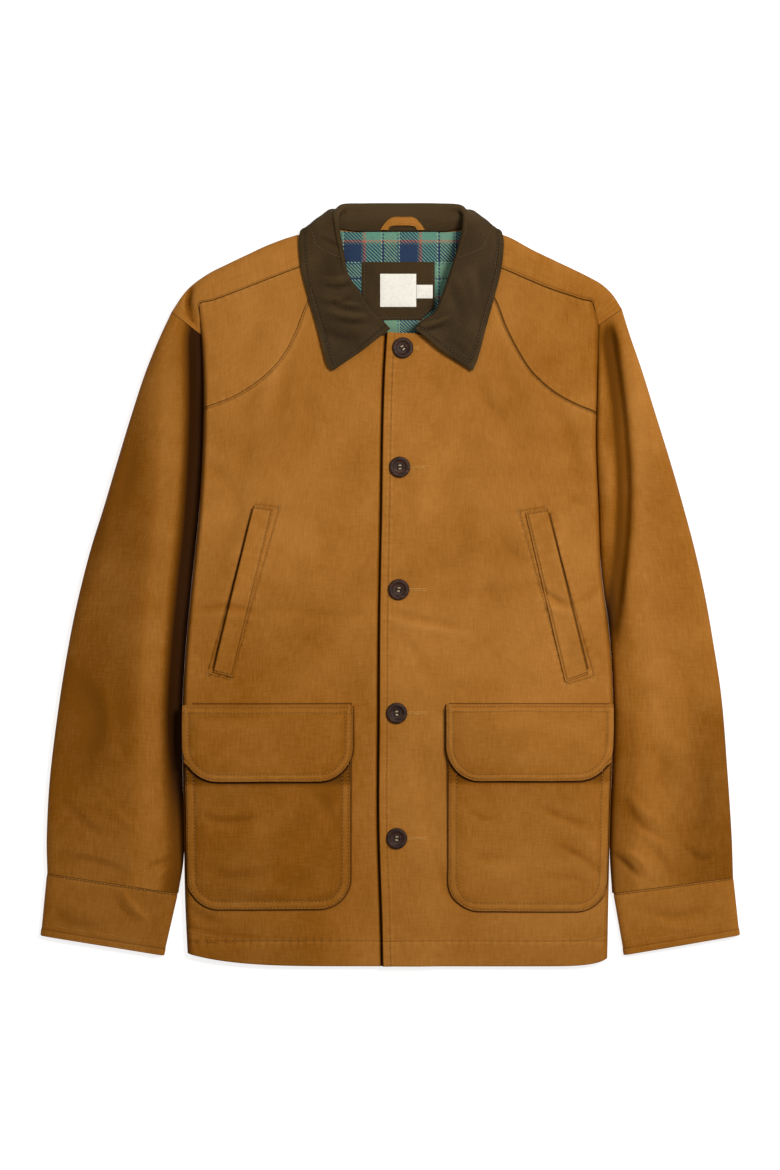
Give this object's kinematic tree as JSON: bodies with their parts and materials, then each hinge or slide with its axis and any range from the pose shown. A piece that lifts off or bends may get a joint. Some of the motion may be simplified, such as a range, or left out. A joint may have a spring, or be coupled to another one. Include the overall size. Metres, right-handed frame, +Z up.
{
  "type": "jacket",
  "caption": "Waxed field jacket laid flat and buttoned, with a folded collar, patch pockets with flaps, slanted chest welts and banded cuffs.",
  "frame": {"origin": "middle of the outline seen from above, on the surface that the jacket lies on", "axes": "+X towards the wearer's left, +Y from the hem to the collar, +Z up, off the surface"},
  "size_m": [0.699, 0.763, 0.0291],
  "materials": {
    "waxed_canvas": "waxed cotton canvas, matt with a soft waxy sheen",
    "collar_cotton": "dark brown twill, matt",
    "plaid_flannel": "brushed plaid flannel, matt",
    "woven_label": "plain white woven tape",
    "button": "dark brown, half gloss"
  },
  "bodies": {
    "root": {"back": "waxed_canvas", "front_right": "waxed_canvas", "front_left": "waxed_canvas", "yoke_right": "waxed_canvas", "yoke_left": "waxed_canvas", "sleeve_upper_right": "waxed_canvas", "sleeve_under_right": "waxed_canvas", "sleeve_upper_left": "waxed_canvas", "sleeve_under_left": "waxed_canvas", "cuff_right": "waxed_canvas", "cuff_left": "waxed_canvas", "hanger_loop": "waxed_canvas", "pocket_right": "waxed_canvas", "pocket_left": "waxed_canvas", "flap_right": "waxed_canvas", "flap_left": "waxed_canvas", "welt_right": "waxed_canvas", "welt_left": "waxed_canvas", "collar": "collar_cotton", "neck_patch": "collar_cotton", "lining": "plaid_flannel", "label": "woven_label", "size_tab": "woven_label", "button_1": "button", "button_2": "button", "button_3": "button", "button_4": "button", "button_5": "button"}
  },
  "joints": []
}
